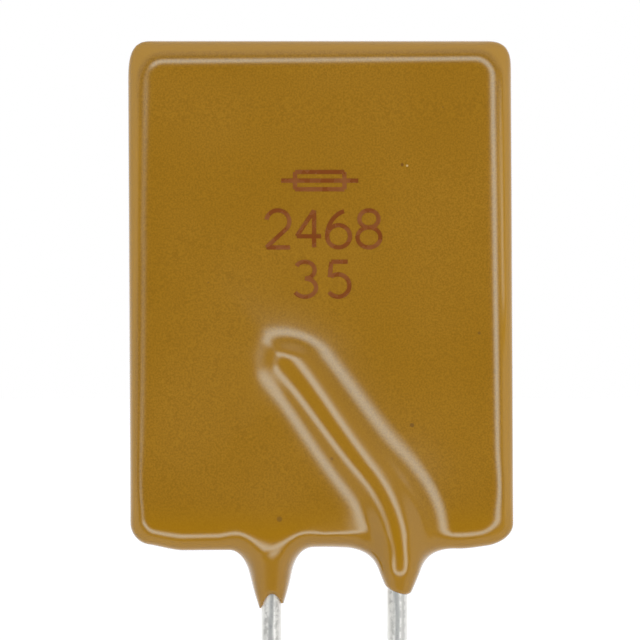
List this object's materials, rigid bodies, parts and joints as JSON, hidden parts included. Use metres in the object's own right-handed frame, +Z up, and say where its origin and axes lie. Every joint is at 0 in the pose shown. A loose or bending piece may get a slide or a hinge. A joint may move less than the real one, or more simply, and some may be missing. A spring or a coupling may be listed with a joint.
{
  "type": "resettable fuse",
  "caption": "Flat rectangular resettable fuse: a conductive-polymer sheet between foils under a dipped ochre coat, with two straight tinned wire leads.",
  "frame": {"origin": "midway between the two leads, in the middle plane of the thickness, at the height of the coat's lowest tip, where the board's surface is", "axes": "+Z up from the board through the body, +X to the right seen from the front, the front faces -Y"},
  "size_m": [0.0155, 0.0032, 0.0306],
  "materials": {
    "epoxy_coat": "glossy dipped epoxy, ochre",
    "carbon_polymer": "matt black, carbon filled",
    "electrode_foil": "nickel-plated copper foil",
    "tinned_wire": "tinned copper, dull silver with fine draw marks",
    "solder": "tin solder, satin"
  },
  "bodies": {
    "root": {"coating": "epoxy_coat", "ptc_sheet": "carbon_polymer", "front_foil": "electrode_foil", "rear_foil": "electrode_foil", "front_lead": "tinned_wire", "rear_lead": "tinned_wire", "front_solder": "solder", "rear_solder": "solder"}
  },
  "joints": []
}
